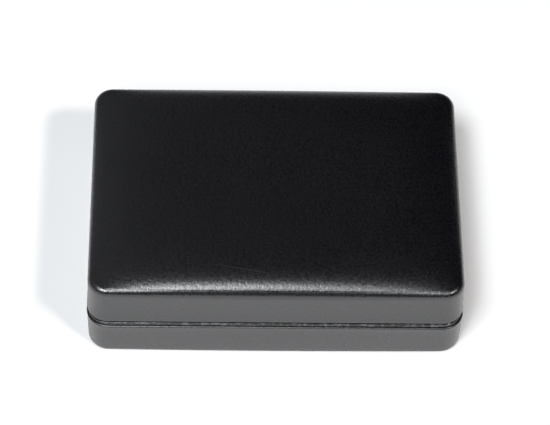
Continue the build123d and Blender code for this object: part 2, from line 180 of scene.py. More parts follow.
# Fine scratches on the lid's top: middle, bearing in degrees and half length. Each is clear to
# the first distance from its line and gone at the second
lid_scratches = (((-10.3, -31.5), -10.3, 10.2),)
scratch_width = (0.03, 0.11)

# Where the paler dashes painted on the base's rim as glints start and where they are full, out
# along X and along Y
bead_starts = {"X": (56.5, 56.8), "Y": (39.0, 39.3)}

# Most of a noise lies between these values
noise_span = (0.3, 0.7)

# Light that the white table seems to give off, seen straight on and in reflections, and how far
# it reaches, in metres
table_glow = 0.085
table_reach = 6.0

# All lamps are this far from the case, in metres
lamp_distance = 2.7

# A normal's share along an axis, past which its point is on a straight side
square_on = 0.999

# Steps of the grids
long_side_steps = 48
short_side_steps = 34
corner_steps = 18
wall_rows = 15
edge_rows = 17
crown_rows = 57
base_wall_rows = 13
base_edge_rows = 9
slab_long_steps = 20
slab_short_steps = 14
strip_columns = 13
velvet_short_steps = 32
edge_rounds = 6


# Grids


def side_stations(half_length, steps, marks=()):
    """Shares of the way along a side, even from its start to its end, with the nearest one moved
    onto each mark, which is a distance from the middle of the side in millimetres."""
    stations = np.linspace(-half_length, half_length, steps + 1)
    for mark in marks:
        stations[np.argmin(np.abs(stations - mark))] = mark
    return (stations[1:-1, None] / half_length + 1) / 2


def rounded_outline(half_x, half_y, radius, long_shares, short_shares):
    """A rounded rectangle from above, anticlockwise: each corner is a quarter circle of even
    steps, and each side has its points at the given shares of the way between two corners. Gives
    points and outward normals."""
    points, normals = [], []
    for quarter, (sx, sy) in enumerate([(1, 1), (-1, 1), (-1, -1), (1, -1)]):
        turn = (quarter + np.linspace(0, 1, corner_steps + 1)) * math.pi / 2
        normal = np.stack([np.cos(turn), np.sin(turn)], 1)
        centre = np.array([sx * (half_x - radius), sy * (half_y - radius)])
        arc = centre + radius * normal
        share = long_shares if quarter % 2 == 0 else short_shares
        next_sx, next_sy = [(-1, 1), (-1, -1), (1, -1), (1, 1)][quarter]
        next_centre = np.array([next_sx * (half_x - radius), next_sy * (half_y - radius)])
        side = arc[-1] + share * (next_centre + radius * normal[-1] - arc[-1])
        points += [arc, side]
        normals += [normal, np.repeat(normal[-1:], len(side), 0)]
    return np.concatenate(points), np.concatenate(normals)


def smooth_step(value, low, high):
    """0 below low, 1 above high, and an S-curve between them."""
    share = np.clip((value - low) / (high - low), 0, 1)
    return share * share * (3 - 2 * share)


def quarter(count):
    """That many even turns from 0 to a right angle."""
    return np.linspace(0, math.pi / 2, count)


def ring_of(plan, z):
    """A ring of points over its plan, at a height that is one number or one for each point."""
    return np.column_stack([plan, np.broadcast_to(z, len(plan))])


def make_piece(name, points, faces, body, material, slot):
    """A mesh in metres from points in millimetres, smooth, riding on a body with its finish."""
    mesh = bpy.data.meshes.new(name)
    mesh.from_pydata((points * MM).tolist(), [], faces)
    mesh.polygons.foreach_set("use_smooth", np.ones(len(mesh.polygons), bool))
    mesh.materials.append(material)
    mesh.validate()
    mesh.update()
    piece = bpy.data.objects.new(name, mesh)
    bpy.context.scene.collection.objects.link(piece)
    if body:
        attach(piece, body)
    return piece


def ring_faces(row_count, column_count, close_last, flip=False):
    """Faces of a grid whose rows are closed rings. close_last fans the last row to a pole, which
    is the point after the grid's own."""
    index = np.arange(row_count * column_count).reshape(row_count, column_count)
    after = np.roll(index, -1, 1)
    quads = np.stack([index[:-1], after[:-1], after[1:], index[1:]], -1).reshape(-1, 4)
    faces = quads.tolist()
    if close_last:
        pole = np.full(column_count, row_count * column_count)
        faces += np.stack([index[-1], after[-1], pole], -1).tolist()
    return [face[::-1] for face in faces] if flip else faces


def ring_piece(name, rows, body, material, slot, pole=None, flip=False):
    """A piece from rings of points, given as rows by columns by xyz, with an optional pole."""
    points = rows.reshape(-1, 3)
    if pole is not None:
        points = np.concatenate([points, np.array([pole], float)])
    faces = ring_faces(rows.shape[0], rows.shape[1], pole is not None, flip)
    return make_piece(name, points, faces, body, material, slot)


def thicken(piece, thickness):
    """Gives a piece that is a surface its wall, inwards from its outer side."""
    wall = piece.modifiers.new("wall", "SOLIDIFY")
    wall.thickness = thickness * MM
    wall.offset = -1
    wall.use_even_offset = False
    return piece


# Finishes


def new_finish(name, **values):
    """A material with a Principled shader whose plain values are set on its own sockets."""
    material = bpy.data.materials.new(name)
    material.use_nodes = True
    surface = material.node_tree.nodes["Principled BSDF"]
    for socket, value in values.items():
        surface.inputs[socket.replace("_", " ")].default_value = value
    return material, surface


def add_node(holder, kind, links=None, **settings):
    """A node of that kind in its holder, a material or the world. links sets its inputs: a
    socket to join, or a plain value."""
    node = holder.node_tree.nodes.new(kind)
    for setting, value in settings.items():
        setattr(node, setting, value)
    for socket, value in (links or {}).items():
        if isinstance(value, bpy.types.NodeSocket):
            holder.node_tree.links.new(value, node.inputs[socket])
        else:
            node.inputs[socket].default_value = value
    return node


def place_of(material):
    """The point on the piece in its own coordinates, in metres."""
    return add_node(material, "ShaderNodeTexCoord").outputs["Object"]


def noise_of(material, place, scale, detail=2.0, roughness=0.5):
    """Soft random field with that many cells to the metre."""
    links = {"Vector": place, "Scale": scale, "Detail": detail, "Roughness": roughness}
    return add_node(material, "ShaderNodeTexNoise", links).outputs["Fac"]


def remap(material, value, low, high, to_low, to_high):
    """value, which runs from low to high, stretched to run from to_low to to_high."""
    links = {"Value": value, "From Min": low, "From Max": high, "To Min": to_low, "To Max": to_high}
    return add_node(material, "ShaderNodeMapRange", links).outputs["Result"]


def blend_colours(material, share, first, second):
    """first where share is 0 and second where it is 1. Each is a socket or a plain colour."""
    node = add_node(material, "ShaderNodeMix", {0: share}, data_type="RGBA")
    ends = [socket for socket in node.inputs if socket.type == "RGBA"]
    for socket, colour in zip(ends, (first, second)):
        if isinstance(colour, bpy.types.NodeSocket):
            material.node_tree.links.new(colour, socket)
        else:
            socket.default_value = (*colour, 1)
    return [out for out in node.outputs if out.type == "RGBA"][0]


def relief(material, surface, height, depth, strength=1.0, under=None):
    """Bumps of that depth in millimetres, over any bumps already under them."""
    links = {"Height": height, "Distance": depth * MM, "Strength": strength}
    if under is not None:
        links["Normal"] = under
    bump = add_node(material, "ShaderNodeBump", links)
    join(material, bump.outputs["Normal"], surface, "Normal")
    return bump.outputs["Normal"]


def join(holder, value, surface, socket):
    """Sets one input of a shader from a socket."""
    holder.node_tree.links.new(value, surface.inputs[socket])


def calculate(holder, operation, *values):
    """One step of arithmetic on sockets or plain values."""
    links = dict(enumerate(values))
    return add_node(holder, "ShaderNodeMath", links, operation=operation).outputs[0]


def scratches(material, place, strokes):
    """1 along each fine scratch and 0 off it, fading over the outer half of its length. A stroke
    is its middle (x, y), its bearing in degrees, and its half length, seen from above in
    millimetres."""
    worn = 0.0
    for (x, y), bearing, half_length in strokes:
        links = {
            "Vector": place,
            "Location": (x * MM, y * MM, 0),
            "Rotation": (0, 0, math.radians(bearing)),
        }
        turned = add_node(material, "ShaderNodeMapping", links, vector_type="TEXTURE")
        axes = add_node(material, "ShaderNodeSeparateXYZ", {"Vector": turned.outputs["Vector"]})
        ahead = calculate(material, "ABSOLUTE", axes.outputs["X"])
        aside = calculate(material, "ABSOLUTE", axes.outputs["Y"])
        within = remap(material, ahead, 0.5 * half_length * MM, half_length * MM, 1, 0)
        clear, gone = scratch_width
        core = remap(material, aside, clear * MM, gone * MM, 1, 0)
        stroke = calculate(material, "MULTIPLY", within, core)
        worn = calculate(material, "MAXIMUM", worn, stroke)
    return worn


def dust(material, place, cells, size, share):
    """1 on specks of that size, as a share of a cell, and 0 between them. Only that share of the
    cells holds one."""
    field = add_node(material, "ShaderNodeTexVoronoi", {"Vector": place, "Scale": cells}).outputs
    chance = add_node(material, "ShaderNodeSeparateColor", {"Color": field["Color"]}).outputs[0]
    speck = remap(material, field["Distance"], size * 0.6, size, 1, 0)
    chosen = calculate(material, "GREATER_THAN", chance, 1 - share)
    return calculate(material, "MULTIPLY", speck, chosen)


def leatherette_finish():
    """Smooth black coated leatherette: a fine grain that also mottles its colour and its gloss, a
    softer unevenness under it, a fine scratch on the top and specks of dust."""
    material, surface = new_finish("leatherette", IOR=1.9)
    place = place_of(material)
    grain = noise_of(material, place, 1500, 1.0)
    soft = noise_of(material, place, 900, 1.0)
    cloud = noise_of(material, place, 60, 3.0)
    spread = remap(material, grain, *noise_span, -0.22, 0.22)
    mottled = calculate(material, "ADD", cloud, spread)
    colour = blend_colours(material, mottled, (0.0006, 0.0005, 0.0018), (0.004, 0.0037, 0.0058))
    worn = calculate(material, "MULTIPLY", scratches(material, place, lid_scratches), 0.4)
    worn = calculate(material, "MAXIMUM", worn, dust(material, place, 300, 0.035, 0.14))
    colour = blend_colours(material, worn, colour, (0.09, 0.09, 0.095))
    join(material, colour, surface, "Base Color")
    join(material, remap(material, grain, *noise_span, 0.26, 0.345), surface, "Roughness")
    under = relief(material, surface, soft, 0.03)
    relief(material, surface, grain, 0.036, under=under)
    return material


def lacquer_finish():
    """Black lacquer on pressed steel, with the faint ripple of a dipped coat and paler dashes
    painted on the bead as glints.
    """
    material, surface = new_finish("rim_lacquer", IOR=1.5, Coat_Weight=0.5)
    place = place_of(material)
    ripple = noise_of(material, place, 330, 3.0)
    axes = add_node(material, "ShaderNodeSeparateXYZ", {"Vector": place}).outputs
    beyond = []
    for axis, (start, full) in bead_starts.items():
        out = calculate(material, "ABSOLUTE", axes[axis])
        beyond.append(remap(material, out, start * MM, full * MM, 0, 1))
    on_bead = calculate(material, "MAXIMUM", *beyond)
    # Paler dashes in the bead's colour are painted glints of light along it
    glint_noise = noise_of(material, place, 1000, 2.0)
    painted_glints = remap(material, glint_noise, 0.5, 0.62, 0, 1)
    painted_glints = calculate(material, "MULTIPLY", painted_glints, on_bead)
    colour = blend_colours(material, painted_glints, (0.006, 0.006, 0.0065), (0.11, 0.11, 0.115))
    join(material, colour, surface, "Base Color")
    join(material, remap(material, ripple, *noise_span, 0.25, 0.45), surface, "Roughness")
    relief(material, surface, ripple, 0.22)
    return material


def plated_finish(name, colour, dark, rough):
    """Plated steel with fine drawing lines along X and a slight tarnish."""
    material, surface = new_finish(name, Metallic=1.0)
    place = place_of(material)
    drawn = add_node(material, "ShaderNodeMapping", {"Vector": place, "Scale": (60, 3000, 3000)})
    lines = noise_of(material, drawn.outputs["Vector"], 1.0, 2.0)
    tarnish = noise_of(material, place, 300, 4.0)
    join(material, blend_colours(material, tarnish, dark, colour), surface, "Base Color")
    sheen = remap(material, lines, *noise_span, rough, rough + 0.15)
    join(material, sheen, surface, "Roughness")
    relief(material, surface, lines, 0.01)
    return material


def velvet_finish():
    """Short black pile: dark straight on, paler at a slant, with painted sheen where the nap turns.
    """
    material, surface = new_finish("velvet", Roughness=0.95, Sheen_Weight=0.8, Sheen_Roughness=0.45)
    surface.inputs["Sheen Tint"].default_value = (0.62, 0.62, 0.66, 1)
    surface.inputs["Specular IOR Level"].default_value = 0.1
    place = place_of(material)
    pile = noise_of(material, place, 5200, 2.0, 0.7)
    nap = noise_of(material, place, 110, 4.0, 0.6)
    # Paler patches painted in the colour stand in for the sheen where the nap turns
    turned = remap(material, nap, 0.3, 0.72, 0, 1)
    colour = blend_colours(material, turned, (0.009, 0.009, 0.01), (0.026, 0.026, 0.029))
    join(material, colour, surface, "Base Color")
    under = relief(material, surface, nap, 0.5, 0.8)
    relief(material, surface, pile, 0.12, under=under)
    return material


def satin_finish():
    """Ivory satin: long floats one way that catch the light, and a soft waviness."""
    material, surface = new_finish("satin", Roughness=0.42, Anisotropic=0.5, Sheen_Weight=0.25)
    place = place_of(material)
    links = {"Vector": place, "Scale": (900, 9000, 2500)}
    floats = add_node(material, "ShaderNodeMapping", links)
    weave = noise_of(material, floats.outputs["Vector"], 1.0, 1.0)
    cloud = noise_of(material, place, 45, 2.0)
    colour = blend_colours(material, cloud, (0.72, 0.69, 0.62), (0.8, 0.78, 0.72))
    join(material, colour, surface, "Base Color")
    relief(material, surface, weave, 0.02, 0.7)
    return material


def ribbon_finish():
    """Black ribbon with ribs across it."""
    material, surface = new_finish("ribbon", Roughness=0.58, Sheen_Weight=0.2)
    surface.inputs["Specular IOR Level"].default_value = 0.3
    place = place_of(material)
    links = {"Vector": place, "Scale": 500.0, "Distortion": 0.4, "Detail": 1.0}
    ribs = add_node(material, "ShaderNodeTexWave", links, bands_direction="Y").outputs["Fac"]
    colour = blend_colours(material, ribs, (0.01, 0.01, 0.011), (0.045, 0.045, 0.048))
    join(material, colour, surface, "Base Color")
    relief(material, surface, ribs, 0.05, 0.8)
    return material


def board_finish(name, dark, light, speck):
    """Pressed board or paper: fibres, specks and a dry surface."""
    material, surface = new_finish(name, Roughness=0.9)
    place = place_of(material)
    fibre = noise_of(material, place, speck, 6.0, 0.7)
    join(material, blend_colours(material, fibre, dark, light), surface, "Base Color")
    relief(material, surface, fibre, 0.06)
    return material


def moulded_finish():
    """Black moulded plastic with a matt spark-eroded texture."""
    material, surface = new_finish("shell_plastic")
    place = place_of(material)
    texture = noise_of(material, place, 1800, 3.0, 0.6)
    colour = blend_colours(material, texture, (0.02, 0.02, 0.021), (0.04, 0.04, 0.042))
    join(material, colour, surface, "Base Color")
    join(material, remap(material, texture, *noise_span, 0.45, 0.65), surface, "Roughness")
    relief(material, surface, texture, 0.03)
    return material


def foam_finish(name, dark, light, cells):
    """Foam or wadding: open cells over a soft body."""
    material, surface = new_finish(name, Roughness=0.95)
    place = place_of(material)
    cell = add_node(material, "ShaderNodeTexVoronoi", {"Vector": place, "Scale": cells})
    pores = cell.outputs["Distance"]
    join(material, blend_colours(material, pores, dark, light), surface, "Base Color")
    relief(material, surface, pores, 0.15)
    return material


leatherette = leatherette_finish()
rim_lacquer = lacquer_finish()
hinge_steel = plated_finish("hinge_steel", (0.62, 0.61, 0.59), (0.4, 0.39, 0.37), 0.25)
rivet_steel = plated_finish("rivet_steel", (0.66, 0.65, 0.63), (0.45, 0.44, 0.42), 0.2)
spring_steel = plated_finish("spring_steel", (0.42, 0.43, 0.45), (0.2, 0.2, 0.22), 0.3)
velvet = velvet_finish()
satin = satin_finish()
ribbon_weave = ribbon_finish()
black_board = board_finish("card", (0.012, 0.012, 0.012), (0.04, 0.038, 0.036), 900)
base_paper = board_finish("base_paper", (0.01, 0.01, 0.01), (0.03, 0.03, 0.03), 2400)
shell_plastic = moulded_finish()
foam = foam_finish("foam", (0.04, 0.04, 0.042), (0.1, 0.1, 0.105), 1500)
wadding = foam_finish("wadding", (0.6, 0.6, 0.58), (0.8, 0.8, 0.78), 700)

cad_finishes = {
    "base_shell": shell_plastic,
    "lid_shell": shell_plastic,
    "base_card": black_board,
    "lining_board": black_board,
    "lid_spacer_frame": black_board,
    "insert_core": black_board,
    "bottom_panel": base_paper,
    "base_rim_frame": rim_lacquer,
    "lid_rim_frame": rim_lacquer,
    "base_hinge_leaf": hinge_steel,
    "lid_hinge_leaf": hinge_steel,
    "hinge_pin": hinge_steel,
    "base_hinge_rivets": rivet_steel,
    "lid_hinge_rivets": rivet_steel,
    "base_spring_rivets": rivet_steel,
    "lid_spring_rivets": rivet_steel,
}
for node, finish in cad_finishes.items():
    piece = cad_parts[node]
    if not piece.material_slots:
        piece.data.materials.append(finish)
    for slot in piece.material_slots:
        slot.material = finish


# Leatherette covers

straight_x = half_width - corner_radius
straight_y = half_depth - corner_radius
hinge_marks = (-hinge_half - hinge_fade, -hinge_half, hinge_half, hinge_half + hinge_fade)
cover_long = side_stations(straight_x, long_side_steps, hinge_marks)
cover_short = side_stations(straight_y, short_side_steps)
cover_shares = cover_long, cover_short
outline, outward = rounded_outline(half_width, half_depth, corner_radius, *cover_shares)
on_long_side = np.abs(outward[:, 1]) > square_on
on_short_side = np.abs(outward[:, 0]) > square_on
mid_side = np.where(on_long_side, 1 - (outline[:, 0] / straight_x) ** 2, 0)
mid_side = np.where(on_short_side, 1 - (outline[:, 1] / straight_y) ** 2, mid_side)
at_back = smooth_step(outline[:, 1], *(half_depth - np.array(base_roll_change)))
past_hinge = smooth_step(np.abs(outline[:, 0]), hinge_half, hinge_half + hinge_fade)
at_hinge = (outward[:, 1] > square_on) * (1 - past_hinge)
base_roll = base_roll_front + (base_roll_back - base_roll_front) * at_back
flare_share = 1 - smooth_step(outline[:, 1], *(half_depth - np.array(base_flare_fade)))
rim_hem_inset = hem_inset + (hinge_hem_inset - hem_inset) * at_hinge
rim_hem_height = hem_height + (hinge_hem_height - hem_height) * at_hinge
rim_cut = hinge_lift * at_hinge


def ring_at(inset, z):
    """One ring of points: the case's outline drawn in by inset along its normals, at height z."""
    inset = np.broadcast_to(inset, len(outline))
    return ring_of(outline - inset[:, None] * outward, z)


def rim_rings(rim_z, side, roll, flare=0.0):
    """Rings of a rolled rim, from the hem's inner end to the foot of the outer wall: an upright
    hem, a quarter of an ellipse and a quarter circle. side is 1 where the wall goes up from the
    rim and -1 where it goes down."""
    edge = rim_z + side * rim_cut
    rings = [
        ring_at(rim_hem_inset, edge + side * (hem_roll + share * (rim_hem_height - hem_roll)))
        for share in (1.0, 0.6, 0.3, 0.0)
    ]
    for turn in quarter(6)[1:]:
        inset = rim_hem_inset - hem_roll * (1 - np.cos(turn)) * hem_bend
        rings.append(ring_at(inset, edge + side * hem_roll * (1 - np.sin(turn))))
    for turn in quarter(9)[:-1]:
        inset = roll * (1 - np.sin(turn)) - flare
        rings.append(ring_at(inset, edge + side * roll * (1 - np.cos(turn))))
    return rings


def lid_top_height(x, y):
    """Height of the padded top over a point: the corners' height, a rise times one less the
    product of the squares of x and y as shares of the half sizes, a lean up to the front and left
    in step with y and x, and two swells of foam. Each swell is one less an exponential of the
    distance in from the foam's margin at the ends, times the same for the sides, and the short
    one fades at the corners as the rise does."""
    across = 1 - (x / half_width) ** 2
    along = 1 - (y / half_depth) ** 2
    side_middle = np.where(y < 0, pad_margin_front, pad_margin_back)
    ends_margin = pad_margin_corner + (pad_margin_ends - pad_margin_corner) * along
    sides_margin = pad_margin_corner + (side_middle - pad_margin_corner) * across
    from_ends = half_width - ends_margin - np.abs(x)
    from_sides = half_depth - sides_margin - np.abs(y)
    middles = across + along - across * along
    rise = side_rise * middles
    for pad, reach in ((pad_rise, pad_reach), (pad_lip_rise * middles, pad_lip_reach)):
        rise = rise + pad * (1 - np.exp(-from_ends / reach)) * (1 - np.exp(-from_sides / reach))
    return top_corner_z + rise - front_rise * y / half_depth - left_rise * x / half_width


def lid_wall_inset(height):
    """How far the lid's wall has drawn in at a height over its rim: the flare times one less an
    exponential, so that it flares out at the rim and stands upright above."""
    return lid_flare * (1 - np.exp(-height / lid_flare_reach))


def lid_cover_rings():
    """Rings of the lid's cover: rolled rim, drafted wall, rounded edge and padded top shrinking to
    the middle. The edge is an arc from the wall's upright to the top's slope. Its radius grows
    from the corner to the middle of each side by one less a square. The arc's inset depends on
    the top's height over it, so the two are worked out in turn until they agree."""
    rings = rim_rings(lid_rim_z, 1, lid_roll)
    middle_radius = np.where(outward[:, 1] > 0.5, edge_radius_back, edge_radius_front)
    middle_radius = np.where(on_short_side, edge_radius_ends, middle_radius)
    radius = edge_radius_corner + (middle_radius - edge_radius_corner) * mid_side
    foot_z = lid_rim_z + rim_cut + lid_roll
    edge_inset = np.full(len(outline), pad_margin_corner)
    step_in = 0.1
    for _ in range(edge_rounds):
        edge, inner = ring_at(edge_inset, 0), ring_at(edge_inset + step_in, 0)
        edge_z = lid_top_height(edge[:, 0], edge[:, 1])
        slope = np.arctan((lid_top_height(inner[:, 0], inner[:, 1]) - edge_z) / step_in)
        full_turn = math.pi / 2 - slope
        head_z = edge_z - radius * np.sin(full_turn)
        edge_inset = lid_wall_inset(head_z - foot_z) + radius * (1 - np.cos(full_turn))
    for share in np.linspace(0, 1, wall_rows)[:-1] ** 1.4:
        z = foot_z + share * (head_z - foot_z)
        rings.append(ring_at(lid_wall_inset(z - foot_z), z))
    for share in np.linspace(0, 1, edge_rows):
        turn = share * full_turn
        z = head_z + radius * np.sin(turn)
        rings.append(ring_at(lid_wall_inset(z - foot_z) + radius * (1 - np.cos(turn)), z))
    head = rings[-1][:, :2]
    for share in np.linspace(0, 1, crown_rows)[1:-1]:
        plan = head * (1 - share**2 * 0.98)
        rings.append(ring_of(plan, lid_top_height(plan[:, 0], plan[:, 1])))
    return np.stack(rings)


def base_cover_rings():
    """Rings of the base's cover: rolled rim, wall, rounded lower edge and turned-under margin. The
    wall draws in from its flare as an exponential, and bows out by a quarter sine wave down its
    height that is full in the middle of each side."""
    rings = rim_rings(base_rim_z, -1, base_roll, base_flare_out * flare_share)
    foot_z = base_rim_z - rim_cut - base_roll
    low_z = base_underside_z + base_edge_radius
    for share in np.linspace(0, 1, base_wall_rows)[:-1] ** 1.5:
        z = foot_z + share * (low_z - foot_z)
        drawn_in = base_flare * (1 - np.exp(-(foot_z - z) / base_flare_reach))
        bow = base_bow * mid_side * math.sin(math.pi / 2 * share) * flare_share
        rings.append(ring_at((drawn_in - base_flare_out) * flare_share - bow, z))
    for turn in quarter(base_edge_rows):
        inset = base_edge_radius * (1 - np.cos(turn))
        inset = inset + (base_flare - base_flare_out - base_bow * mid_side) * flare_share
        z = base_underside_z + base_edge_radius * (1 - np.sin(turn))
        rings.append(ring_at(inset, z))
    for margin in underside_margins:
        radius = max(corner_radius - margin, underside_least_corner)
        sizes = half_width - margin, half_depth - margin, radius
        rings.append(ring_of(rounded_outline(*sizes, *cover_shares)[0], base_underside_z))
    return np.stack(rings)


lid_top_pole = (0, 0, lid_top_height(0.0, 0.0))
lid_cover = ring_piece(
    "lid_leatherette", lid_cover_rings(), "lid", leatherette, "leatherette", lid_top_pole
)
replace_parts(thicken(lid_cover, cover_thickness), "lid_cover")

base_cover = ring_piece(
    "base_leatherette", base_cover_rings(), "base", leatherette, "leatherette", flip=True
)
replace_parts(thicken(base_cover, cover_thickness), "base_cover")


# Soft pieces inside the lid and base


def slab_rings(half_x, half_y, radius, low, high, edge, row_count=9):
    """Rings of a closed pad: from the middle of its low face out to its rim, up a side whose two
    edges are quarter circles of radius edge, and back in over its high face. low and high are
    functions of x and y. Every ring is the same rounded rectangle, and on the two faces it is
    scaled to the middle by the sines of even turns."""
    long_shares = side_stations(half_x - radius, slab_long_steps)
    short_shares = side_stations(half_y - radius, slab_short_steps)
    plan, normal = rounded_outline(half_x, half_y, radius, long_shares, short_shares)
    rings = []
    scales = np.sin(np.linspace(0.06, 1, row_count) * math.pi / 2)
    for scale in scales:
        flat = (plan - edge * normal) * scale
        rings.append(ring_of(flat, low(flat[:, 0], flat[:, 1])))
    for turn in quarter(6)[1:]:
        flat = plan - edge * (1 - math.sin(turn)) * normal
        rings.append(ring_of(flat, low(flat[:, 0], flat[:, 1]) + edge * (1 - math.cos(turn))))
    for turn in quarter(6)[:-1]:
        flat = plan - edge * (1 - math.cos(turn)) * normal
        rings.append(ring_of(flat, high(flat[:, 0], flat[:, 1]) - edge * (1 - math.sin(turn))))
    for scale in scales[::-1]:
        flat = (plan - edge * normal) * scale
        rings.append(ring_of(flat, high(flat[:, 0], flat[:, 1])))
    return np.stack(rings)


def closed_rings(name, rings, body, material, slot):
    """A piece from rings with a pole at each end, each at the middle of its ring."""
    rows, columns = rings.shape[:2]
    first, last = rings[0].mean(0), rings[-1].mean(0)
    points = np.concatenate([rings.reshape(-1, 3), [last], [first]])
    faces = ring_faces(rows, columns, True)
    start = np.arange(columns)
    low_pole = np.full(columns, rows * columns + 1)
    faces += np.stack([np.roll(start, -1), start, low_pole], -1).tolist()
    return make_piece(name, points, faces, body, material, slot)


def shell_crown(x, y):
    """Height of the moulded lid under the foam: a shallow dome that falls from its middle by the
    squares of x and y as shares of the half sizes."""
    fall = shell_fall_ends * (x / half_width) ** 2
    return shell_top_z - fall - shell_fall_sides * (y / half_depth) ** 2


def lid_foam_top(x, y):
    """Underside of the lid's cover, with a hair of air."""
    return lid_top_height(x, y) - cover_thickness - foam_gap


foam_rings = slab_rings(
    half_width - foam_inset,
    half_depth - foam_inset,
    foam_corner,
    shell_crown,
    lid_foam_top,
    foam_edge,
)
lid_foam = closed_rings("lid_foam", foam_rings, "lid", foam, "foam")
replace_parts(lid_foam, "lid_padding")

pad_low, pad_high = (np.array(corner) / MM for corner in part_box("well_pad"))
pad_middle_y = (pad_low[1] + pad_high[1]) / 2


def well_pad_top(x, y):
    """Height of the well foam's face, which falls from its middle by the squares of the distances
    along and across."""
    fall = well_pad_sag * ((x / pad_high[0]) ** 2 + (y / well_pad_half_y) ** 2)
    return pad_high[2] - fall


pad_rings = slab_rings(
    pad_high[0] - well_pad_gap,
    (pad_high[1] - pad_low[1]) / 2 - well_pad_gap,
    well_pad_corner,
    lambda x, y: np.full_like(x, pad_low[2]),
    well_pad_top,
    well_pad_edge,
)
pad_rings[:, :, 1] += pad_middle_y
well_foam = closed_rings("well_foam", pad_rings, "base", foam, "foam")
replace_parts(well_foam, "well_pad")

# Velvet over the insert: skirt, rounded border, lip, wall and floor of the well
notch_marks = (-notch_half - notch_fade, -notch_half, notch_half, notch_half + notch_fade)
velvet_long = side_stations(insert_half_x - insert_corner, long_side_steps, notch_marks)
velvet_short = side_stations(insert_half_y - insert_corner, velvet_short_steps)
velvet_shares = velvet_long, velvet_short
border, border_normal = rounded_outline(
    insert_half_x, insert_half_y, insert_corner, *velvet_shares
)
well, well_normal = rounded_outline(well_half_x, well_half_y, well_corner, *velvet_shares)
well_centre = np.array([0, well_centre_y])
well = well + well_centre
near_notch = np.abs(border[:, 0]) < notch_half + notch_fade / 2
border[(border_normal[:, 1] > square_on) & near_notch, 1] = notch_y


def velvet_rings():
    """Rings of the velvet: up the skirt, round the border's edge, over a border that swells by a
    half sine wave across its width, round the well's lip, down its wall and in over its floor,
    which rises in step with the distance in. The edge, lip and foot are quarter circles."""
    rings = []
    edge_z = insert_top_z - velvet_edge
    for share in (0.0, 0.5, 1.0):
        rings.append(ring_of(border, insert_skirt_z + share * (edge_z - insert_skirt_z)))
    for turn in quarter(6)[1:]:
        plan = border - velvet_edge * (1 - math.cos(turn)) * border_normal
        rings.append(ring_of(plan, insert_top_z - velvet_edge * (1 - math.sin(turn))))
    outer, inner = rings[-1][:, :2], well + velvet_lip * well_normal
    for share in np.linspace(0, 1, 9)[1:-1]:
        z = insert_top_z + velvet_swell * math.sin(math.pi * share)
        rings.append(ring_of(outer + share * (inner - outer), z))
    for turn in quarter(6):
        plan = well + velvet_lip * (1 - math.sin(turn)) * well_normal
        rings.append(ring_of(plan, insert_top_z - velvet_lip * (1 - math.cos(turn))))
    lip_z = insert_top_z - velvet_lip
    for share in (0.35, 0.7):
        rings.append(ring_of(well, lip_z - share * (lip_z - velvet_foot - well_floor_z)))
    for turn in quarter(5):
        plan = well - velvet_foot * (1 - math.cos(turn)) * well_normal
        rings.append(ring_of(plan, well_floor_z + velvet_foot * (1 - math.sin(turn))))
    inner = rings[-1][:, :2] - well_centre
    for scale in (0.9, 0.75, 0.55, 0.35, 0.15):
        z = well_floor_z + velvet_floor_rise * (1 - scale)
        rings.append(ring_of(inner * scale + well_centre, z))
    return np.stack(rings)


well_pole = (0, well_centre_y, well_floor_z + velvet_floor_rise)
velvet_bed = ring_piece("velvet_bed", velvet_rings(), "base", velvet, "velvet", well_pole)
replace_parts(thicken(velvet_bed, velvet_thickness), "insert_velvet")


def strip_along(name, path, half_span, body, material, slot):
    """A strip: the path of (y, z) points carried along X from minus to plus its half width, with a
    row of faces for each step of the path."""
    across = np.linspace(-1, 1, strip_columns)
    x = np.repeat(half_span * across[None, :], len(path), 0)
    y = np.repeat(path[:, :1], len(across), 1)
    z = np.repeat(path[:, 1:], len(across), 1)
    points = np.stack([x, y, z], -1)
    rows, columns = points.shape[:2]
    index = np.arange(rows * columns).reshape(rows, columns)
    corners = [index[:-1, :-1], index[:-1, 1:], index[1:, 1:], index[1:, :-1]]
    faces = np.stack(corners, -1).reshape(-1, 4).tolist()
    return make_piece(name, points.reshape(-1, 3), faces, body, material, slot)


def rounded_path(corners, radius, steps=6):
    """A path of straight runs through corners of (y, z), each turn eased by a quadratic curve
    that starts and ends radius before and after the corner."""
    corners = np.array(corners, float)
    path = [corners[:1]]
    for before, here, after in zip(corners, corners[1:], corners[2:]):
        start = here + (before - here) / np.linalg.norm(before - here) * radius
        end = here + (after - here) / np.linalg.norm(after - here) * radius
        share = np.linspace(0, 1, steps)[:, None]
        path.append((1 - share) ** 2 * start + 2 * share * (1 - share) * here + share**2 * end)
    path.append(corners[-1:])
    return np.concatenate(path)


# Lift ribbon: from the well's floor up its front wall and out over the border
front_wall_y = well_centre_y - well_half_y
ribbon_path = rounded_path(
    [
        (-2.8, well_floor_z + 0.24),
        (-14.0, well_floor_z + 0.22),
        (front_wall_y + ribbon_gap, well_floor_z + ribbon_gap),
        (front_wall_y + ribbon_gap, insert_top_z + 0.34),
        (front_wall_y - 2.6, insert_top_z + 0.42),
        (front_wall_y - 5.4, insert_top_z + 0.95),
    ],
    ribbon_bend,
)
ribbon_strip = strip_along(
    "lift_ribbon_strip", ribbon_path, ribbon_half_width, "base", ribbon_weave, "ribbon"
)
ribbon_strip.modifiers.new("weave", "SOLIDIFY").thickness = ribbon_thickness * MM
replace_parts(ribbon_strip, "lift_ribbon")


def lining_face(x, y):
    """Height of the wadding's face, which hangs down: a little over the satin's hem, less a swell
    times one less the fourth power of x and times one less the square of y, each as a share of
    its half size."""
    across = np.clip(1 - (x / lining_half_x) ** 4, 0, 1)
    along = np.clip(1 - (y / lining_half_y) ** 2, 0, 1)
    return satin_hem_z + lining_gap - lining_swell * across * along


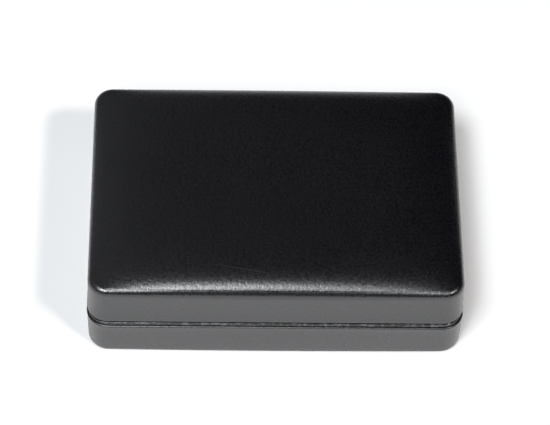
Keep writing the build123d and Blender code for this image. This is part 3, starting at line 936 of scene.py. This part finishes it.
def rounded_grid(half_x, half_y, radius, step):
    """Points of an even grid over a rounded rectangle, as rows by columns of x and y. Inside each
    corner's square the two shares of the way out become those of a quarter disc, each times the
    root of one less half the square of the other."""
    columns, rows = (2 * round(half / step) + 1 for half in (half_x, half_y))
    x, y = np.meshgrid(np.linspace(-half_x, half_x, columns), np.linspace(-half_y, half_y, rows))
    out_x = np.clip((np.abs(x) - half_x + radius) / radius, 0, 1)
    out_y = np.clip((np.abs(y) - half_y + radius) / radius, 0, 1)
    round_x = half_x - radius + radius * out_x * np.sqrt(1 - out_y**2 / 2)
    round_y = half_y - radius + radius * out_y * np.sqrt(1 - out_x**2 / 2)
    x = np.where(out_x > 0, np.sign(x) * round_x, x)
    y = np.where(out_y > 0, np.sign(y) * round_y, y)
    return np.stack([x, y], -1)


def settled_by_cloth(points, faces, cut, held, pressure, frames=22):
    """Where the points of a sheet come to rest. It was cut to the shape cut, is fixed at the held
    points and is pushed along its normals by the wadding behind it. It is worked at ten times the
    size, where cloth is steady."""
    mesh = bpy.data.meshes.new("cloth_trial")
    mesh.from_pydata((points * MM * cloth_scale).tolist(), [], faces)
    trial = bpy.data.objects.new("cloth_trial", mesh)
    bpy.context.scene.collection.objects.link(trial)
    trial.shape_key_add(name="sewn")
    cut_key = trial.shape_key_add(name="cut")
    cut_key.data.foreach_set("co", (cut * MM * cloth_scale).ravel())
    trial.vertex_groups.new(name="held").add(held.tolist(), 1.0, "REPLACE")
    cloth = trial.modifiers.new("cloth", "CLOTH")
    fabric = cloth.settings
    fabric.quality = 8
    fabric.mass = 0.25
    fabric.air_damping = 2.0
    fabric.tension_stiffness = fabric.compression_stiffness = 25
    fabric.shear_stiffness = 12
    fabric.bending_stiffness = 0.02
    fabric.vertex_group_mass = "held"
    fabric.rest_shape_key = cut_key
    fabric.use_pressure = True
    fabric.uniform_pressure_force = pressure
    fabric.effector_weights.gravity = 0
    cloth.point_cache.frame_start = 1
    cloth.point_cache.frame_end = frames
    for frame_number in range(1, frames + 1):
        bpy.context.scene.frame_set(frame_number)
    worked = trial.evaluated_get(bpy.context.evaluated_depsgraph_get())
    settled = np.empty(len(points) * 3)
    worked.data.vertices.foreach_get("co", settled)
    bpy.context.scene.frame_set(1)
    bpy.data.objects.remove(trial)
    bpy.data.meshes.remove(mesh)
    return settled.reshape(-1, 3) / (MM * cloth_scale)


def satin_surface():
    """Points and faces of the satin: a face on a grid, filled by the wadding, then its side and
    the margin turned over the board, which are rings that go on from the grid's outline. The cloth
    is cut a little larger than the frame, and its margin is ruffled by a sum of sines along
    each side that fades inwards as an exponential, so that it settles into gathers. The wadding
    stops the swell at its depth, as one less an exponential."""
    grid = rounded_grid(lining_half_x, lining_half_y, lining_corner, satin_step)
    rows, columns = grid.shape[:2]
    index = np.arange(rows * columns).reshape(rows, columns)
    plan = grid.reshape(-1, 2)
    quads = np.stack([index[:-1, :-1], index[1:, :-1], index[1:, 1:], index[:-1, 1:]], -1)
    faces = quads.reshape(-1, 4).tolist()
    border = np.concatenate([index[0, :-1], index[:-1, -1], index[-1, :0:-1], index[:0:-1, 0]])
    from_end, from_side = (np.array([lining_half_x, lining_half_y]) - np.abs(plan)).T
    along = np.where(from_end < from_side, plan[:, 1], plan[:, 0])
    which = np.where(from_end < from_side, np.sign(plan[:, 0]), 2 * np.sign(plan[:, 1]))
    ruffle = sum(
        size * np.sin(2 * math.pi * along / length + phase * which)
        for length, phase, size in satin_gathers
    )
    fade = np.exp(-np.minimum(from_end, from_side) / satin_ruffle_reach)
    ruffle = satin_ruffle * ruffle * fade
    cut = ring_of(plan * satin_ease, satin_hem_z + ruffle)
    ruffle[border] = 0
    sewn = ring_of(plan, satin_hem_z + satin_sewn_ruffle * ruffle)
    face = settled_by_cloth(sewn, faces, cut, border, satin_pressure)
    swell = (satin_hem_z - face[:, 2]) * satin_fullness / satin_depth
    face[:, 2] = satin_hem_z - satin_depth * (1 - np.exp(-swell))
    outline_plan = plan[border]
    inner = np.abs(outline_plan) - [lining_half_x - lining_corner, lining_half_y - lining_corner]
    out = np.where(inner > 1e-6, inner, 0) * np.sign(outline_plan)
    out = out / np.linalg.norm(out, axis=1, keepdims=True)
    rings = [ring_of(outline_plan - inset * out, z) for inset, z in satin_side]
    around = rows * columns + np.arange(len(border))
    loops = [border] + [around + k * len(border) for k in range(len(rings))]
    for low, high in zip(loops, loops[1:]):
        faces += np.stack([low, np.roll(low, -1), np.roll(high, -1), high], -1).tolist()
    return np.concatenate([face] + rings), faces


satin_cushion = make_piece("satin_cushion", *satin_surface(), "lid", satin, "satin")
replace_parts(thicken(satin_cushion, satin_thickness), "lining_satin")

board_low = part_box("lining_board")[0][2] / MM
wadding_rings = slab_rings(
    lining_half_x - wadding_inset,
    lining_half_y - wadding_inset,
    wadding_corner,
    lining_face,
    lambda x, y: np.full_like(x, board_low - board_gap),
    wadding_edge,
)
lining_pad = closed_rings("lining_wadding_pad", wadding_rings, "lid", wadding, "wadding")
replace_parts(lining_pad, "lining_wadding")

# Snap spring: a bent strip in one fixed shape; the real one bows as the lid turns
spring_path = rounded_path(
    [
        (spring_foot_y, axis_z - 7.2),
        (spring_foot_y, axis_z - 3.3),
        (spring_bulge_y, axis_z - 1.5),
        (spring_bulge_y, axis_z + 1.5),
        (spring_foot_y, axis_z + 3.3),
        (spring_foot_y, axis_z + 7.2),
    ],
    spring_bend,
    9,
)
spring = strip_along(
    "snap_spring_strip", spring_path, spring_half_width, None, spring_steel, "spring_steel"
)
spring_wall = spring.modifiers.new("wall", "SOLIDIFY")
spring_wall.thickness = spring_thickness * MM
spring_wall.offset = 0
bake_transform(spring)
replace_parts(spring, "snap_spring")


# Table, light and camera

stage_finish, stage_surface = new_finish("table_white", Roughness=0.9)
stage_surface.inputs["Specular IOR Level"].default_value = 0.0
stage_surface.inputs["Base Color"].default_value = (0.96, 0.96, 0.96, 1)
table_mesh = bpy.data.meshes.new("table")
corners = [(x * table_reach, y * table_reach, 0) for x, y in ((-1, -1), (1, -1), (1, 1), (-1, 1))]
table_mesh.from_pydata(corners, [], [(0, 1, 2, 3)])
table_mesh.materials.append(stage_finish)
table = bpy.data.objects.new("table", table_mesh)
bpy.context.scene.collection.objects.link(table)
paths = add_node(stage_finish, "ShaderNodeLightPath").outputs
seen = paths["Is Camera Ray"]
for kind in ("Is Glossy Ray", "Is Transmission Ray"):
    seen = calculate(stage_finish, "MAXIMUM", seen, paths[kind])
stage_surface.inputs["Emission Color"].default_value = (1, 1, 1, 1)
given_off = remap(stage_finish, seen, 0, 1, 0, table_glow)
join(stage_finish, given_off, stage_surface, "Emission Strength")


def soft_lamp(name, direction, width, height, power, colour):
    """A rectangular area lamp in that direction, turned towards the case. Its sides are in metres
    and its power in watts."""
    data = bpy.data.lights.new(name, "AREA")
    data.shape = "RECTANGLE"
    data.size = width
    data.size_y = height
    data.energy = power
    data.color = colour
    lamp = bpy.data.objects.new(name, data)
    lamp.location = Vector(direction).normalized() * lamp_distance
    lamp.rotation_euler = Vector(direction).to_track_quat("Z", "Y").to_euler()
    bpy.context.scene.collection.objects.link(lamp)


soft_lamp("front_left", (-0.29, -0.42, 1), 0.62, 0.7, 36.2, (0.945, 0.975, 1))
soft_lamp("front_right", (0.57, -0.48, 1), 0.4, 0.26, 24.5, (1, 0.95, 0.92))
soft_lamp("near_camera", (-0.18, -0.68, 1), 0.74, 0.8, 23.0, (0.94, 0.97, 1))


def soft_band(value, low, high, strength):
    """The room's light: that strength where value is below low, none above high, and an S-curve
    between them."""
    links = {"Value": value, "From Min": low, "From Max": high, "To Min": strength, "To Max": 0.0}
    band = add_node(world, "ShaderNodeMapRange", links, interpolation_type="SMOOTHSTEP")
    return band.outputs["Result"]


# A dim room: paler low down and at the left, and a little paler over its whole left half, less
# so overhead
world = bpy.data.worlds.new("studio")
world.use_nodes = True
bpy.context.scene.world = world
sky = world.node_tree.nodes["Background"]
sky.inputs["Color"].default_value = (0.93, 0.965, 1, 1)
looking = add_node(world, "ShaderNodeTexCoord").outputs["Generated"]
sideways = add_node(world, "ShaderNodeSeparateXYZ", {"Vector": looking}).outputs["X"]
upwards = add_node(
    world, "ShaderNodeVectorMath", {0: looking, 1: (0, -0.25, 1)}, operation="DOT_PRODUCT"
).outputs["Value"]
low_down = soft_band(upwards, -0.1, 0.15, 0.26)
on_left = soft_band(sideways, -0.65, -0.1, 0.2)
fading_up = soft_band(upwards, 0.75, 1.2, 0.16)
left_half = calculate(world, "MULTIPLY", fading_up, soft_band(sideways, -0.11, 0.06, 1.0))
edges_of_room = calculate(world, "MAXIMUM", low_down, on_left)
join(world, calculate(world, "MAXIMUM", edges_of_room, left_half), sky, "Strength")

# The camera looks down from the front, a little from the left, with a slight lean. Its focal
# length is first given in pixels of the picture
camera_turn = math.radians(-2.5)
camera_height = math.radians(54.9)
camera_lean = math.radians(2.549)
camera_distance = 0.8095
camera_target = Vector((0.0002, 0.0022, 0.015))
camera_pixels = 2576.6
picture_width = 550
film_width = 36
back = Vector(
    (
        math.sin(camera_turn) * math.cos(camera_height),
        -math.cos(camera_turn) * math.cos(camera_height),
        math.sin(camera_height),
    )
)
level = (-back).cross(Vector((0, 0, 1))).normalized()
upright = level.cross(-back).normalized()
right = level * math.cos(camera_lean) + upright * math.sin(camera_lean)
up = upright * math.cos(camera_lean) - level * math.sin(camera_lean)
camera_data = bpy.data.cameras.new("camera")
camera_data.sensor_width = film_width
camera_data.lens = camera_pixels * film_width / picture_width
camera = bpy.data.objects.new("camera", camera_data)
camera.matrix_world = Matrix.Translation(camera_target + back * camera_distance) @ Matrix(
    (right, up, back)
).transposed().to_4x4()
bpy.context.scene.collection.objects.link(camera)
bpy.context.scene.camera = camera

bpy.context.scene.view_settings.view_transform = "Standard"
